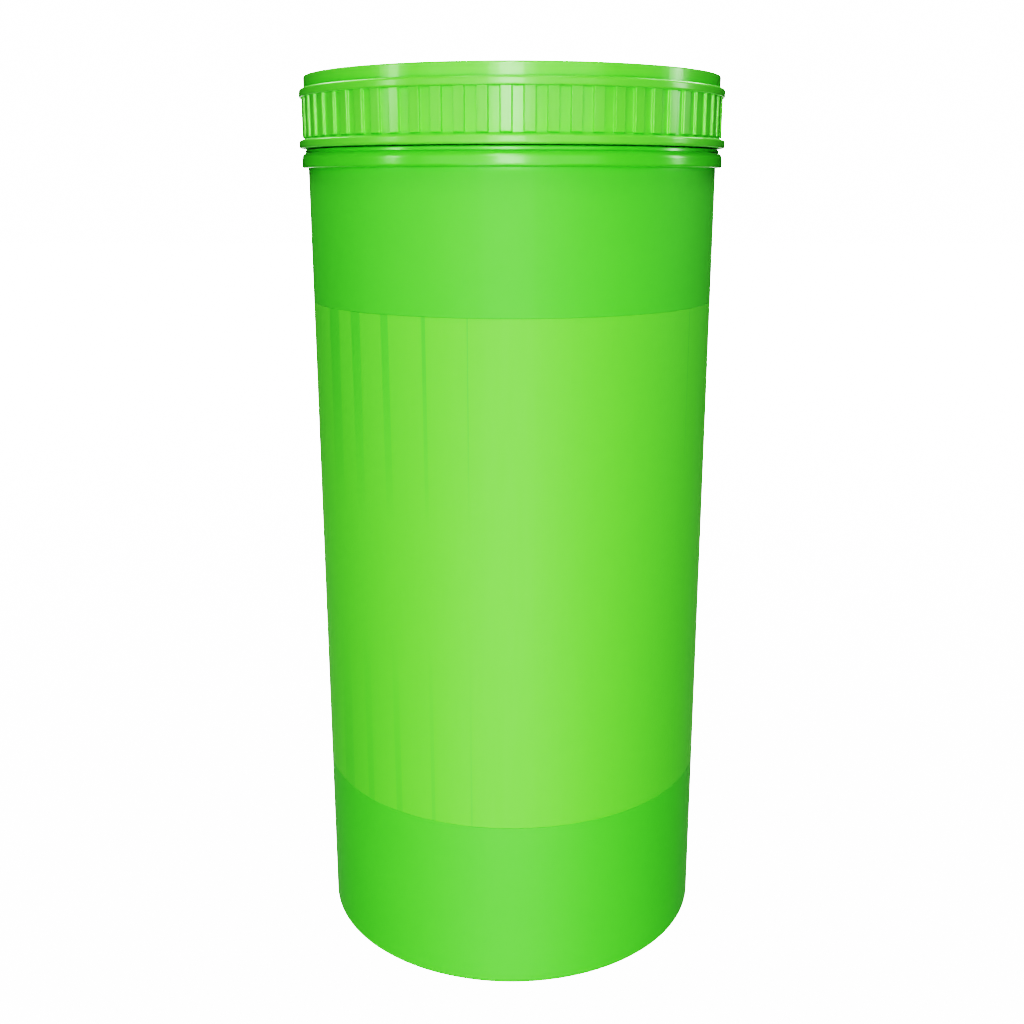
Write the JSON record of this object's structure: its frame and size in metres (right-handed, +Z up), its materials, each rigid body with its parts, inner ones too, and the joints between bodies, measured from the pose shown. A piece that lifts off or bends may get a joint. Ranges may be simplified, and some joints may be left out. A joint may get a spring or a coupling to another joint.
{
  "type": "disinfectant jar",
  "caption": "Tall round jar with a ribbed screw lid; the lid lifts out a perforated tool tray and guide plate on a central rod.",
  "frame": {"origin": "centre of the face the jar stands on", "axes": "+Z up along the jar's axis, -Y the front; every joint is on the Z axis"},
  "size_m": [0.1108, 0.1108, 0.2332],
  "materials": {
    "jar_green": "gloss",
    "lid_green": "gloss",
    "label_film": "gloss film",
    "gasket_rubber": "matte",
    "nylon": "matte",
    "stainless": "brushed",
    "basket_plastic": "satin",
    "foot_rubber": "matte"
  },
  "bodies": {
    "jar": {"jar_body": "jar_green", "label": "label_film"},
    "basket": {"lift_rod": "stainless", "rod_button": "stainless", "tool_guide": "basket_plastic", "guide_retainer": "stainless", "spacer_tube": "stainless", "base_tray": "basket_plastic", "tray_washer": "stainless", "tray_nut": "stainless", "tray_foot_1": "foot_rubber", "tray_foot_2": "foot_rubber", "tray_foot_3": "foot_rubber"},
    "swivel": {"swivel_bush": "nylon"},
    "lid": {"lid_shell": "lid_green", "lid_gasket": "gasket_rubber"}
  },
  "joints": [
    {"name": "basket_lift", "type": "slide", "parent": "jar", "child": "basket", "axis": [0, 0, 1], "range_m": [0, 0.22]},
    {"name": "thread_rise", "type": "slide", "parent": "basket", "child": "swivel", "axis": [0, 0, 1], "range_m": [0, 0.005]},
    {"name": "lid_turn", "type": "hinge", "parent": "swivel", "child": "lid", "pos_m": [0, 0, 0.2156], "axis": [0, 0, 1], "range_deg": [0, 360]}
  ],
  "couplings": [
    {"joint": "thread_rise", "follows": "lid_turn", "m_per_rad": 0.00079577}
  ]
}
